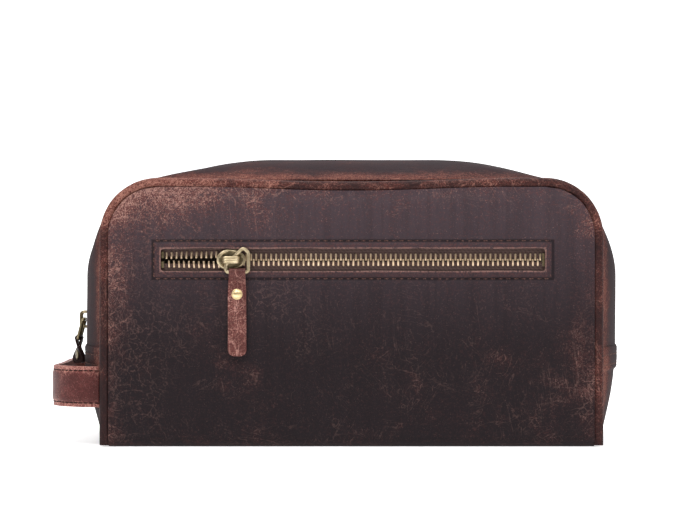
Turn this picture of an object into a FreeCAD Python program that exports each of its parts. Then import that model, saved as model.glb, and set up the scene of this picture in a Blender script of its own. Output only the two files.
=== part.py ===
"""A leather shaving kit bag, built from its separate cut pieces, in millimetres.

The front, base and back are one length of leather. Piping is sewn round its edges, a zipped gusset
runs over the top between two side panels, a zipped pocket is let into the front, and a carrying loop
is sewn on the left side.
The origin is the middle of the base, +Z is up, and the pocket faces -Y.
"""
import FreeCAD, Part
import math
import os

V = FreeCAD.Vector
X_AXIS, Y_AXIS, Z_AXIS = V(1, 0, 0), V(0, 1, 0), V(0, 0, 1)
BIG = 400.0  # reaches past the bag in any direction
CLEAR = 1.0  # how far a cutter runs past what it cuts
BURIED = 0.5  # how far two pieces that are one solid run into each other

# Leather, lining and piping
LEATHER = 1.4
LINING, LINING_INSET = 0.6, 1.0
GAP = 0.05  # between sewn layers
PIPING_R, PIPING_BORE_R, PIPING_CORD_R = 2.4, 1.5, 1.45

# The bag: piping centre line seen from the front, and the front and back faces
PIPING_X, PIPING_Z, PIPING_Y = 124.0, 132.6, 61.5
PIPING_CORNER_R = 27.0
PIPING_FOOT_Z = 0.6
FACE_Y = 63.5
BASE_BEND_R = 6.0
PANEL_X = PIPING_X - PIPING_R - GAP
PANEL_TOP = PIPING_Z - PIPING_R - GAP
PANEL_CORNER_R = PIPING_CORNER_R - PIPING_R - GAP

# The gusset's outline at its seams and at the middle of the bag's depth: it bulges between them
SEAM_Y = 59.0
HULL_Y = 60.0
SEAM = {"foot_x": 125.0, "side_x": 125.4, "spring_z": 105.6, "spring_x": 97.6, "top_z": 133.8}
MIDDLE = {"foot_x": 128.0, "side_x": 138.0, "spring_z": 84.0, "spring_x": 40.0, "top_z": 146.0}
FOOT_Z, KNEE_Z, WAIST_Z = 5.0, 22.0, 46.0
KNEE_SHARE = 0.68  # how far out the side has come by its knee
STATIONS = 3
CORNER_STEPS = 8
SIDE_TANGENT, CORNER_TANGENT = 20.0, 40.0

# The side panels end in a folded hem, which covers the lower ends of the zip
HEM_LOW, HEM_TOP, HEM_PROUD = 38.0, 49.6, 1.3
PANEL_END_Z, GUSSET_END_Z = 41.0, 41.2
BASE_EDGE, BASE_EDGE_CLEAR = (0.3, 3.2), 0.4  # beyond the base's edge, and clear of the piping

# The mouth: the top stretch of each gusset half folds back about its seam
LIP_X, LIP_CUT, LIP_Y = 94.0, 0.3, 58.5
LIP_LOW_Z = 110.0

# Zip chain, in depths below the leather's outer face
ZIP_EDGE = 6.0  # leather edge from the middle of the chain
TAPE_HALF, TAPE_INNER, TAPE = 14.0, 1.0, 0.55
TAPE_DEPTH = LEATHER + GAP
CHAIN_DEPTH = TAPE_DEPTH + TAPE / 2
LINING_DEPTH = TAPE_DEPTH + TAPE + GAP
LINING_EDGE = 9.0
TOOTH_PITCH, TOOTH_THICK = 2.5, 0.98
TOOTH_TIP, TOOTH_HEEL, TOOTH_HALF = 0.45, 3.2, 1.2
TOOTH_SLOT, TOOTH_WEB = 0.48, 0.85
MAIN_STOP, MAIN_STOP_TIP, MAIN_STOP_Z = 2.4, 0.3, 52.6
MAIN_ROW_FOOT_Z = 60.0
LIP_ROW_CLEAR, SIDE_ROW_CLEAR = 1.2, 0.8  # from the ends of each gusset piece to its first teeth

# Slider: its length runs along the chain, from the wide mouth to the narrow end
SLIDER_HALF_LENGTH, SLIDER_HALF = 7.2, 5.4
MOUTH_HALF, TAIL_HALF, SHOULDER_X = 4.0, 4.2, 2.5
MOUTH_R, SHOULDER_R, TAIL_R = 1.2, 4.0, 1.8
SLIDER_PLATE, CHANNEL_HALF, SLOT_HALF = 1.05, 1.45, 0.7
FLANGE, FLANGE_REACH = 0.5, 3.0
BRIDGE_HALF_LENGTH, BRIDGE_WIDTH, BRIDGE_STRAP, BRIDGE_RISE = 4.6, 3.6, 1.1, 4.2
BRIDGE_CORNER_R = 2.4
WIRE_R = 0.65
WIRE_LEVEL = CHANNEL_HALF + SLIDER_PLATE + 1.8  # bail wire above the chain's middle plane
WIRE_BEND_R = 1.6

# Pull tab: one strip folded over the bail's bar and riveted
TAB_WIDTH, TAB_PLY, TAB_EYE_R = 9.2, 1.1, 0.95
TAB_NECK, TAB_END_R = 6.0, 3.6
RIVET_CAP_R, RIVET_SHANK_R, RIVET_DOME, RIVET_ROUND, RIVET_BORE = 2.7, 1.1, 0.9, 0.72, 1.15
POCKET_TAB, POCKET_RIVET = 42.0, 11.0  # below the bar
MAIN_TAB, MAIN_RIVET = 13.0, 8.6

# Front pocket
WINDOW_X = (-95.2, 96.8)
POCKET_Z = 93.8
WINDOW_CORNER_R = 1.8
POCKET_CHAIN_Y = CHAIN_DEPTH - FACE_Y
TAPE_END = 6.0  # tape past each end of the window
POCKET_SLIDER_X = -60.3
CHAIN_CLOSED_X, CHAIN_WIDE_X, CHAIN_WIDE, CHAIN_END_GAP = -56.0, -65.0, 1.3, 0.8
POUCH_X, POUCH_Z, POUCH_DEPTH = 108.0, (18.0, 110.0), 6.2
POCKET_BAIL_LEFT, POCKET_BAIL_RIGHT, POCKET_BAR_Z = -62.85, -51.55, 87.6
POCKET_BAIL_BEVEL = 2.6
POCKET_STOP, POCKET_STOP_IN = 1.2, 0.6
STITCH, STITCH_PITCH, STITCH_WIDE, STITCH_HIGH, STITCH_LIFT = 2.7, 3.8, 0.55, 0.3, 0.04
STITCH_X, STITCH_Z = (-99.0, 99.6), (84.3, 103.3)

# Main slider, parked low on the left side
MAIN_SLIDER_Z = 62.5
MAIN_BAIL_LENGTH, MAIN_BAIL_HALF, MAIN_BAIL_TILT = 10.5, 5.6, 15.0

# Carrying loop
HANDLE_X, HANDLE_END_Y, HANDLE_BOW_R = 152.6, 57.0, 23.0
HANDLE_OUTER_END_X, HANDLE_INNER_END_X = 128.3, 129.5
HANDLE_Z = (19.4, 40.0)

os.makedirs("parts", exist_ok=True)


def save(name, *solids):
    """Writes one node, which may hold several solids."""
    shape = solids[0] if len(solids) == 1 else Part.makeCompound(list(solids))
    shape.exportStep(f"parts/{name}.step")


def box(x, y, z):
    """A box from three (low, high) pairs."""
    return Part.makeBox(x[1] - x[0], y[1] - y[0], z[1] - z[0], V(x[0], y[0], z[0]))


def solid_of(shape):
    """The largest solid of a boolean's result."""
    return max(shape.Solids, key=lambda s: s.Volume)


def rounded_path(corners, closed):
    """Straight runs through (point, radius) corners, each corner rounded by its own radius."""
    count = len(corners)
    joints = []
    for i, (here, radius) in enumerate(corners):
        if radius == 0 or (not closed and i in (0, count - 1)):
            joints.append((here, None, here))
            continue
        back = (corners[i - 1][0] - here).normalize()
        ahead = (corners[(i + 1) % count][0] - here).normalize()
        half = back.getAngle(ahead) / 2
        bisector = (back + ahead).normalize()
        nearest = here + bisector * (radius / math.sin(half) - radius)
        reach = radius / math.tan(half)
        joints.append((here + back * reach, nearest, here + ahead * reach))
    edges = []
    for i, (start, middle, end) in enumerate(joints):
        if middle:
            edges.append(Part.Arc(start, middle, end).toShape())
        if closed or i < count - 1:
            edges.append(Part.makeLine(end, joints[(i + 1) % count][0]))
    return Part.Wire(edges)


def plate(corners, thickness):
    """A flat plate from rounded corners."""
    return Part.Face(rounded_path(corners, True)).extrude(thickness)


def swept(path, start, direction, radius):
    """A round bar along a path."""
    profile = Part.Wire(Part.makeCircle(radius, start, direction))
    return Part.Wire(path.Edges).makePipeShell([profile], True, False)


# ---- The gusset's bulged form --------------------------------------------------------------------

def shape_at(y):
    """The outline's numbers at one depth."""
    share = 1 - (y / SEAM_Y) ** 2
    return {key: SEAM[key] + share * (MIDDLE[key] - SEAM[key]) for key in SEAM}


def side_points(form, depth, y):
    """The right side from the base up to where it runs straight."""
    foot, side = form["foot_x"] - depth, form["side_x"] - depth
    return [V(foot, y, 0), V(foot + KNEE_SHARE * (side - foot), y, KNEE_Z), V(side, y, WAIST_Z)]


def corner_points(form, depth, y):
    """The right top corner, from the side to the top."""
    wide = form["side_x"] - depth - form["spring_x"]
    high = form["top_z"] - depth - form["spring_z"]
    points = []
    for i in range(CORNER_STEPS + 1):
        angle = math.pi / 2 * i / CORNER_STEPS
        points.append(V(form["spring_x"] + wide * math.cos(angle), y,
                        form["spring_z"] + high * math.sin(angle)))
    return points


def spline(points, start, end):
    """A smooth curve through points, with its end directions given."""
    curve = Part.BSplineCurve()
    curve.interpolate(Points=points, InitialTangent=start, FinalTangent=end)
    return curve.toShape()


def outline(y, depth):
    """The closed outline in one plane, a given depth inside the leather's outer face."""
    form = shape_at(y)
    side, corner = side_points(form, depth, y), corner_points(form, depth, y)
    lean = (side[1] - side[0]).normalize()
    right = [spline(side, lean * SIDE_TANGENT, Z_AXIS * SIDE_TANGENT), Part.makeLine(side[-1], corner[0]),
             spline(corner, Z_AXIS * CORNER_TANGENT, X_AXIS * -CORNER_TANGENT)]
    left = [edge.mirror(V(0, 0, 0), X_AXIS) for edge in right]
    across = Part.makeLine(corner[-1], V(-corner[-1].x, y, corner[-1].z))
    base = Part.makeLine(V(-side[0].x, y, 0), side[0])
    return Part.Wire(Part.__sortEdges__([base, *right, across, *left]))


def hull(depth):
    """The solid inside the gusset, a given depth below the leather's outer face."""
    rows = [HULL_Y * i / STATIONS for i in range(-STATIONS, STATIONS + 1)]
    return Part.makeLoft([outline(y, depth) for y in rows], True, False)


def layers():
    """One shell for each layer of the gusset: hem, leather, tape and lining."""
    depths = {"hem": (-HEM_PROUD - GAP, -GAP), "leather": (0, LEATHER),
              "tape": (TAPE_DEPTH, TAPE_DEPTH + TAPE), "lining": (LINING_DEPTH, LINING_DEPTH + LINING),
              "fold": (-HEM_PROUD - GAP, LEATHER)}
    return {name: hull(outer).cut(hull(inner)) for name, (outer, inner) in depths.items()}


def cut_piece(layer, x, y, z):
    """The part of a layer inside a box."""
    return solid_of(layer.common(box(x, y, z)))


# ---- Zip chain -----------------------------------------------------------------------------------

def tooth(length, reach, side):
    """One metal tooth at the origin, clamped on the tape: X along the chain, Y across it, Z out of it."""
    body = box((-length / 2, length / 2), (reach, TOOTH_HEEL), (-TOOTH_HALF, TOOTH_HALF))
    slot = box((-length, length), (TOOTH_WEB, TOOTH_HEEL * 2), (-TOOTH_SLOT, TOOTH_SLOT))
    piece = body.cut(slot)
    return piece if side > 0 else piece.mirror(V(0, 0, 0), Y_AXIS)


def placed(shape, at, along, out):
    """A copy moved so that its X runs along the chain and its Z points out of it."""
    across = out.cross(along)
    matrix = FreeCAD.Matrix(along.x, across.x, out.x, at.x, along.y, across.y, out.y, at.y,
                            along.z, across.z, out.z, at.z, 0, 0, 0, 1)
    return shape.transformed(matrix, True)


def zip_path():
    """The main chain's middle line, from low on the left side, over the top, to low on the right side."""
    half = outline(0, CHAIN_DEPTH)
    lower = box((-BIG, BIG), (-CLEAR, CLEAR), (-BIG, GUSSET_END_Z))
    open_path = half.cut(lower)
    return Part.Wire(Part.__sortEdges__(open_path.Edges))


def main_teeth(low_x, high_x, foot_z, side):
    """One row of the main zip's teeth between two X positions."""
    path = zip_path()
    count = int(path.Length / TOOTH_PITCH * 2)
    points = path.discretize(Number=count + 1)
    if points[0].x > points[-1].x:
        points.reverse()
    row = []
    for i in range(1, count):
        here, along = points[i], (points[i + 1] - points[i - 1]).normalize()
        matches = i % 2 == (0 if side > 0 else 1)
        if matches and low_x < here.x < high_x and here.z > foot_z:
            row.append(placed(tooth(TOOTH_THICK, -TOOTH_TIP, side), here, along, Y_AXIS.cross(along) * -1))
    return row


def pocket_teeth(side):
    """One row of the pocket's teeth: meshed behind the slider, and parted in front of it."""
    row = []
    first, last = WINDOW_X[0] + TOOTH_PITCH, WINDOW_X[1] - TOOTH_PITCH
    count = int((last - first) / TOOTH_PITCH * 2)
    for i in range(count):
        if i % 2 != (0 if side > 0 else 1):
            continue
        x = first + i * TOOTH_PITCH / 2
        row.append(placed(tooth(TOOTH_THICK, -TOOTH_TIP, side),
                          V(x, POCKET_CHAIN_Y, POCKET_Z + side * parting(x)), X_AXIS, -Y_AXIS))
    return row


def parting(x):
    """How far each pocket row stands from the chain's middle line."""
    if x > CHAIN_CLOSED_X:
        return 0.0
    if x > CHAIN_WIDE_X:
        return CHAIN_WIDE * (CHAIN_CLOSED_X - x) / (CHAIN_CLOSED_X - CHAIN_WIDE_X)
    share = (x - WINDOW_X[0]) / (CHAIN_WIDE_X - WINDOW_X[0])
    return CHAIN_END_GAP + share * (CHAIN_WIDE - CHAIN_END_GAP)


def slider():
    """A slider at the origin: two leaf-shaped plates with turned edges, and a bridge on the outer one.

    The plates are shown without the wedge between them, so that they pass over the closed chain.
    """
    half = [(-SLIDER_HALF_LENGTH, MOUTH_HALF, MOUTH_R), (-SHOULDER_X, SLIDER_HALF, SHOULDER_R),
            (SLIDER_HALF_LENGTH, TAIL_HALF, TAIL_R)]
    leaf = [(V(x, -y, 0), radius) for x, y, radius in half]
    leaf += [(V(x, y, 0), radius) for x, y, radius in half[::-1]]
    leaf_plate = plate(leaf, V(0, 0, SLIDER_PLATE))
    top = leaf_plate.translated(V(0, 0, CHANNEL_HALF))
    rail = box((-FLANGE_REACH, FLANGE_REACH), (SLIDER_HALF - FLANGE, SLIDER_HALF),
               (SLOT_HALF, CHANNEL_HALF + BURIED))
    rail = rail.common(plate(leaf, V(0, 0, BIG)))
    rails = [rail, rail.mirror(V(0, 0, 0), Y_AXIS)]
    lower = solid_of(top.multiFuse(rails).removeSplitter()).mirror(V(0, 0, 0), Z_AXIS)
    base = CHANNEL_HALF + SLIDER_PLATE - BURIED
    top_z = CHANNEL_HALF + SLIDER_PLATE + BRIDGE_RISE
    arch = [(V(-BRIDGE_HALF_LENGTH, -BRIDGE_WIDTH / 2, base), 0),
            (V(BRIDGE_HALF_LENGTH, -BRIDGE_WIDTH / 2, base), 0),
            (V(BRIDGE_HALF_LENGTH, -BRIDGE_WIDTH / 2, top_z), BRIDGE_CORNER_R),
            (V(-BRIDGE_HALF_LENGTH, -BRIDGE_WIDTH / 2, top_z), BRIDGE_CORNER_R)]
    inset = BRIDGE_HALF_LENGTH - BRIDGE_STRAP
    tunnel = [(V(-inset, -BIG, base - CLEAR), 0), (V(inset, -BIG, base - CLEAR), 0),
              (V(inset, -BIG, top_z - BRIDGE_STRAP), BRIDGE_CORNER_R - BRIDGE_STRAP),
              (V(-inset, -BIG, top_z - BRIDGE_STRAP), BRIDGE_CORNER_R - BRIDGE_STRAP)]
    bridge = plate(arch, V(0, BRIDGE_WIDTH, 0)).cut(plate(tunnel, V(0, 2 * BIG, 0)))
    upper = top.multiFuse(rails + [bridge]).removeSplitter()
    return [solid_of(upper), lower]


def tab(length, rivet):
    """A pull tab at the origin, its eye round the X axis, hanging down and facing +Y: strip, then rivet."""
    eye = TAB_EYE_R + TAB_PLY
    ring = Part.makeCylinder(eye, TAB_WIDTH, V(-TAB_WIDTH / 2, 0, 0), X_AXIS)
    strip = plate([(V(-TAB_WIDTH / 2, -TAB_PLY, 0), 0), (V(TAB_WIDTH / 2, -TAB_PLY, 0), 0),
                   (V(TAB_WIDTH / 2, -TAB_PLY, -length), TAB_END_R),
                   (V(-TAB_WIDTH / 2, -TAB_PLY, -length), TAB_END_R)], V(0, 2 * TAB_PLY, 0))
    neck = Part.Face(Part.makePolygon([V(0, eye, 0), V(0, TAB_PLY, -TAB_NECK), V(0, -TAB_PLY, -TAB_NECK),
                                       V(0, -eye, 0), V(0, eye, 0)])).extrude(V(TAB_WIDTH, 0, 0))
    neck.translate(V(-TAB_WIDTH / 2, 0, 0))
    eye_bore = Part.makeCylinder(TAB_EYE_R, TAB_WIDTH * 2, V(-TAB_WIDTH, 0, 0), X_AXIS)
    bore = Part.makeCylinder(RIVET_BORE, 4 * TAB_PLY, V(0, -2 * TAB_PLY, -rivet), Y_AXIS)
    leather = solid_of(strip.multiFuse([ring, neck]).cut(eye_bore).cut(bore).removeSplitter())
    cap = Part.makeCylinder(RIVET_CAP_R, RIVET_DOME, V(0, TAB_PLY + GAP, -rivet), Y_AXIS)
    rim = max(cap.Edges, key=lambda edge: edge.CenterOfMass.y)
    cap = cap.makeFillet(RIVET_ROUND, [rim])
    shank = Part.makeCylinder(RIVET_SHANK_R, 2 * TAB_PLY + 3 * GAP, V(0, -TAB_PLY - 2 * GAP, -rivet), Y_AXIS)
    back_y = -TAB_PLY - GAP - RIVET_DOME / 2
    back = Part.makeCylinder(RIVET_CAP_R, RIVET_DOME / 2, V(0, back_y, -rivet), Y_AXIS)
    return leather, solid_of(cap.multiFuse([shank, back]).removeSplitter())


def wire_loop(corners):
    """A closed wire loop through rounded corners, starting in the middle of its first run."""
    path = rounded_path(corners, True)
    first = max(path.Edges, key=lambda e: e.Length if e.Curve.TypeId == "Part::GeomLine" else 0)
    start = first.valueAt(first.FirstParameter)
    direction = first.tangentAt(first.FirstParameter)
    ordered = Part.Wire(Part.__sortEdges__(path.Edges))
    profile = Part.Wire(Part.makeCircle(WIRE_R, start, direction))
    return ordered.makePipeShell([profile], True, True)


# ---- Leather shell, piping and lining ------------------------------------------------------------

def u_shell(inset, thickness, half_x, top_z, corner_r):
    """A sheet that runs down the front, under the base and up the back, with rounded upper corners."""
    def trough(depth):
        face, bend = FACE_Y - depth, BASE_BEND_R - depth
        return plate([(V(-half_x, -face, depth), bend), (V(-half_x, face, depth), bend),
                      (V(-half_x, face, BIG), 0), (V(-half_x, -face, BIG), 0)], V(2 * half_x, 0, 0))
    sheet = trough(inset).cut(trough(inset + thickness))
    shape = plate([(V(-half_x, -BIG, -CLEAR), 0), (V(half_x, -BIG, -CLEAR), 0),
                   (V(half_x, -BIG, top_z), corner_r), (V(-half_x, -BIG, top_z), corner_r)], V(0, 2 * BIG, 0))
    return solid_of(sheet.common(shape))


def window(margin, y):
    """The pocket's opening, grown by a margin, cut through the front at the depths given."""
    low, high = POCKET_Z - ZIP_EDGE - margin, POCKET_Z + ZIP_EDGE + margin
    x0, x1 = WINDOW_X[0] - margin, WINDOW_X[1] + margin
    return plate([(V(x0, y[0], low), WINDOW_CORNER_R), (V(x1, y[0], low), WINDOW_CORNER_R),
                  (V(x1, y[0], high), WINDOW_CORNER_R), (V(x0, y[0], high), WINDOW_CORNER_R)],
                 V(0, y[1] - y[0], 0))


def leather_shell():
    """The front, base and back, and the lining sewn inside them."""
    front = (-BIG, 0)
    leather = u_shell(0, LEATHER, PANEL_X, PANEL_TOP, PANEL_CORNER_R)
    save("body_shell", solid_of(leather.cut(window(0, front))))
    lining = u_shell(LINING_DEPTH, LINING, PANEL_X - LINING_INSET, PANEL_TOP - LINING_INSET,
                     PANEL_CORNER_R - LINING_INSET)
    save("body_lining", solid_of(lining.cut(window(LINING_EDGE - ZIP_EDGE, front))))


def piping():
    """The piping round the front and the back: a leather cover over a cord."""
    for name, side in (("front", -1), ("rear", 1)):
        y = side * PIPING_Y
        corners = [(V(-PIPING_X, y, PIPING_FOOT_Z), 0), (V(-PIPING_X, y, PIPING_Z), PIPING_CORNER_R),
                   (V(PIPING_X, y, PIPING_Z), PIPING_CORNER_R), (V(PIPING_X, y, PIPING_FOOT_Z), 0)]
        path = rounded_path(corners, False)
        cover, bore, cord = (swept(path, corners[0][0], Z_AXIS, radius)
                             for radius in (PIPING_R, PIPING_BORE_R, PIPING_CORD_R))
        save(f"piping_{name}", solid_of(cover.cut(bore)))
        save(f"piping_{name}_cord", cord)


def base_edges():
    """The turned-up edges under the side panels, sewn to the base."""
    for name, side in (("left", -1), ("right", 1)):
        x = sorted(side * (PANEL_X + beyond) for beyond in BASE_EDGE)
        half = PIPING_Y - PIPING_R - BASE_EDGE_CLEAR
        save(f"base_edge_{name}", box(x, (-half, half), (BASE_EDGE_CLEAR, FOOT_Z - GAP)))


# ---- Gusset and mouth ----------------------------------------------------------------------------

def side_panels(shells):
    """The lower side panels: single leather below, and a folded hem over the gusset and the zip's ends."""
    for name, side in (("left", -1), ("right", 1)):
        x = sorted((side * LIP_X, side * BIG))
        y = (-SEAM_Y, SEAM_Y)
        wall = cut_piece(shells["leather"], x, y, (FOOT_Z, HEM_LOW))
        fold = cut_piece(shells["fold"], x, y, (HEM_LOW, PANEL_END_Z))
        hem = cut_piece(shells["hem"], x, y, (PANEL_END_Z, HEM_TOP))
        save(f"side_panel_{name}", solid_of(wall.multiFuse([fold, hem])))
        save(f"side_lining_{name}", cut_piece(shells["lining"], x, y, (FOOT_Z, GUSSET_END_Z - LINING_INSET)))


def gusset(shells):
    """The gusset's four sides and two mouth lips, each with its zip tape and lining."""
    for half, sign in (("front", -1), ("rear", 1)):
        spans = {"leather": (ZIP_EDGE, "gusset", "lip"), "tape": (TAPE_INNER, "gusset_tape", "lip_tape"),
                 "lining": (LINING_EDGE, "gusset_lining", "lip_lining")}
        for layer, (edge, fixed, moving) in spans.items():
            far = TAPE_HALF if layer == "tape" else LIP_Y
            y = sorted((sign * edge, sign * far))
            x = (-LIP_X + LIP_CUT, LIP_X - LIP_CUT)
            save(f"{moving}_{half}", cut_piece(shells[layer], x, y, (LIP_LOW_Z, BIG)))
            far = TAPE_HALF if layer == "tape" else SEAM_Y
            y = sorted((sign * edge, sign * far))
            for name, side in (("left", -1), ("right", 1)):
                x = sorted((side * LIP_X, side * BIG))
                save(f"{fixed}_{half}_{name}", cut_piece(shells[layer], x, y, (GUSSET_END_Z, BIG)))


def main_chain():
    """The main zip's teeth on each piece of the gusset, and the stops at its closed end."""
    for half, sign in (("front", -1), ("rear", 1)):
        save(f"lip_teeth_{half}", *main_teeth(LIP_ROW_CLEAR - LIP_X, LIP_X - LIP_ROW_CLEAR, 0, sign))
        save(f"side_teeth_{half}_left", *main_teeth(-BIG, -LIP_X - SIDE_ROW_CLEAR, MAIN_ROW_FOOT_Z, sign))
        save(f"side_teeth_{half}_right", *main_teeth(LIP_X + SIDE_ROW_CLEAR, BIG, HEM_TOP, sign))
        at = V(CHAIN_DEPTH - MIDDLE["side_x"], 0, MAIN_STOP_Z)
        save(f"main_stop_{half}", placed(tooth(MAIN_STOP, MAIN_STOP_TIP, sign), at, Z_AXIS, -X_AXIS))


def main_puller():
    """The main slider on the left side, its bail leaning out, and its tab hanging plumb."""
    at = V(CHAIN_DEPTH - MIDDLE["side_x"], 0, MAIN_SLIDER_Z)
    save("main_slider", *[placed(piece, at, Z_AXIS, -X_AXIS) for piece in slider()])
    hinge = at - X_AXIS * WIRE_LEVEL
    lean = math.radians(MAIN_BAIL_TILT)
    drop = V(-math.sin(lean), 0, -math.cos(lean)) * MAIN_BAIL_LENGTH
    half = Y_AXIS * MAIN_BAIL_HALF
    save("main_bail", wire_loop([(p, WIRE_BEND_R) for p in (hinge - half, hinge + half, hinge + half + drop,
                                                            hinge - half + drop)]))
    for name, piece in zip(("main_tab", "main_rivet"), tab(MAIN_TAB, MAIN_RIVET)):
        save(name, placed(piece, hinge + drop, -Y_AXIS, Z_AXIS))


# ---- Front pocket --------------------------------------------------------------------------------

def pocket():
    """The pocket's zip tapes, teeth, stops and pouch."""
    tape_y = (POCKET_CHAIN_Y - TAPE / 2, POCKET_CHAIN_Y + TAPE / 2)
    for name, side in (("upper", 1), ("lower", -1)):
        corners = [(WINDOW_X[0] - TAPE_END, CHAIN_END_GAP), (CHAIN_WIDE_X, CHAIN_WIDE), (CHAIN_CLOSED_X, 0.0),
                   (WINDOW_X[1] + TAPE_END, 0.0)]
        inner = [V(x, tape_y[0], POCKET_Z + side * (TAPE_INNER + apart)) for x, apart in corners]
        outer = [V(x, tape_y[0], POCKET_Z + side * TAPE_HALF) for x, _ in (corners[-1], corners[0])]
        face = Part.Face(Part.makePolygon(inner + outer + inner[:1]))
        save(f"pocket_tape_{name}", face.extrude(V(0, TAPE, 0)))
        save(f"pocket_teeth_{name}", *pocket_teeth(side))
    stops = []
    for x in (WINDOW_X[0] + POCKET_STOP_IN, WINDOW_X[1] - POCKET_STOP_IN):
        for side in (-1, 1):
            at = V(x, POCKET_CHAIN_Y, POCKET_Z + side * parting(x))
            stops.append(placed(tooth(POCKET_STOP, GAP, side), at, X_AXIS, -Y_AXIS))
    save("pocket_stops", *stops)
    front = LINING_DEPTH + LINING + GAP - FACE_Y
    pouch = box((-POUCH_X, POUCH_X), (front, front + POUCH_DEPTH), POUCH_Z)
    inside = box((LINING - POUCH_X, POUCH_X - LINING), (front + LINING, front + POUCH_DEPTH - LINING),
                 (POUCH_Z[0] + LINING, POUCH_Z[1] - LINING))
    opening = window(LINING_EDGE - ZIP_EDGE, (front - CLEAR, front + LINING + GAP))
    save("pocket_pouch", pouch.cut(inside).cut(opening))


def pocket_puller():
    """The pocket's slider, its bail lying slantwise through the bridge, and its tab."""
    save("pocket_slider", *[placed(piece, V(POCKET_SLIDER_X, POCKET_CHAIN_Y, POCKET_Z), X_AXIS, -Y_AXIS)
                            for piece in slider()])
    y = POCKET_CHAIN_Y - WIRE_LEVEL
    reach = POCKET_BAIL_RIGHT - POCKET_SLIDER_X - POCKET_BAIL_BEVEL
    drop = POCKET_SLIDER_X - POCKET_BAIL_LEFT
    loop = [(V(POCKET_BAIL_LEFT, y, POCKET_Z - drop), WIRE_BEND_R),
            (V(POCKET_SLIDER_X + reach, y, POCKET_Z + reach), WIRE_BEND_R),
            (V(POCKET_BAIL_RIGHT, y, POCKET_Z + reach - POCKET_BAIL_BEVEL), WIRE_BEND_R),
            (V(POCKET_BAIL_RIGHT, y, POCKET_BAR_Z), WIRE_BEND_R),
            (V(POCKET_BAIL_LEFT, y, POCKET_BAR_Z), WIRE_BEND_R)]
    save("pocket_bail", wire_loop(loop))
    at = V((POCKET_BAIL_LEFT + POCKET_BAIL_RIGHT) / 2, y, POCKET_BAR_Z)
    for name, piece in zip(("pocket_tab", "pocket_rivet"), tab(POCKET_TAB, POCKET_RIVET)):
        save(name, placed(piece, at, -X_AXIS, Z_AXIS))


def spread(low, high):
    """The middles of the stitches that fill one straight row."""
    count = round((high - low) / STITCH_PITCH)
    return [low + (high - low) * (i + 0.5) / count for i in range(count)]


def stitching():
    """The row of stitches round the pocket."""
    y = (-FACE_Y - STITCH_LIFT - STITCH_HIGH, -FACE_Y - STITCH_LIFT)
    along, wide = STITCH / 2, STITCH_WIDE / 2
    row = [box((x - along, x + along), y, (z - wide, z + wide)) for z in STITCH_Z for x in spread(*STITCH_X)]
    row += [box((x - wide, x + wide), y, (z - along, z + along)) for x in STITCH_X for z in spread(*STITCH_Z)]
    save("pocket_stitching", *row)


# ---- Carrying loop -------------------------------------------------------------------------------

def carrying_loop():
    """A two-ply leather band, bowed out from the left side and sewn in behind both lengths of piping."""
    def inside(depth):
        far_x, far_y, bend = -HANDLE_X + depth, HANDLE_END_Y - depth, HANDLE_BOW_R - depth
        return plate([(V(0, -far_y, HANDLE_Z[0]), 0), (V(far_x, -far_y, HANDLE_Z[0]), bend),
                      (V(far_x, far_y, HANDLE_Z[0]), bend), (V(0, far_y, HANDLE_Z[0]), 0)],
                     V(0, 0, HANDLE_Z[1] - HANDLE_Z[0]))
    plies = ("outer", 0, HANDLE_OUTER_END_X), ("inner", LEATHER + GAP, HANDLE_INNER_END_X)
    for name, depth, end_x in plies:
        ring = inside(depth).cut(inside(depth + LEATHER))
        save(f"handle_{name}", solid_of(ring.common(box((-BIG, -end_x), (-BIG, BIG), (0, BIG)))))


SHELLS = layers()
leather_shell()
piping()
base_edges()
side_panels(SHELLS)
gusset(SHELLS)
main_chain()
main_puller()
pocket()
pocket_puller()
stitching()
carrying_loop()
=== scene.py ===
"""The look of a leather shaving kit bag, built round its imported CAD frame, in metres."""
import math

import bpy
from mathutils import Matrix, Vector, noise


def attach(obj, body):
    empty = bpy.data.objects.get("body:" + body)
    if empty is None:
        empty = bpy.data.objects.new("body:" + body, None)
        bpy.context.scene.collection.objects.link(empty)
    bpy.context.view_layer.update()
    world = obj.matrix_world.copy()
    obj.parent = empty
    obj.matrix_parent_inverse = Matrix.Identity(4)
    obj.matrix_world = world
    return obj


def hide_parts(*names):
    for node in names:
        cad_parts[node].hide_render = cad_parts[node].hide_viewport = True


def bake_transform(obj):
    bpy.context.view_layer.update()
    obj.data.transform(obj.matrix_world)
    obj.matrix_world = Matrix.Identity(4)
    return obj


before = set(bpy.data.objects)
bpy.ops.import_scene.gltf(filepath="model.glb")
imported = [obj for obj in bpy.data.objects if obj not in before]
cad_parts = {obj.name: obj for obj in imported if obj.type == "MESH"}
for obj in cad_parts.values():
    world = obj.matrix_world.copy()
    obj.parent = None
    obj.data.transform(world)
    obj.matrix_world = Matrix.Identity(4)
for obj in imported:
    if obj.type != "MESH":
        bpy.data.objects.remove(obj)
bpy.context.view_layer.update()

bpy.ops.object.select_all(action="DESELECT")

# ---- Room, camera and lights ------------------------------------------------
# The bag stands on a white sweep under large soft lamps. The camera is level and looks square at the
# pocket's face, from the far end of a long lens.

CAMERA_PLACE = (-0.006, -1.2635, 0.0947)
LENS_MM, SENSOR_MM = 127.0, 36.0


def place_camera():
    bpy.ops.object.camera_add(location=CAMERA_PLACE, rotation=(math.pi / 2, 0, 0))
    camera = bpy.context.object
    camera.name = "camera"
    camera.data.lens = LENS_MM
    camera.data.sensor_width = SENSOR_MM
    camera.data.clip_start = 0.05
    bpy.context.scene.camera = camera


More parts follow.
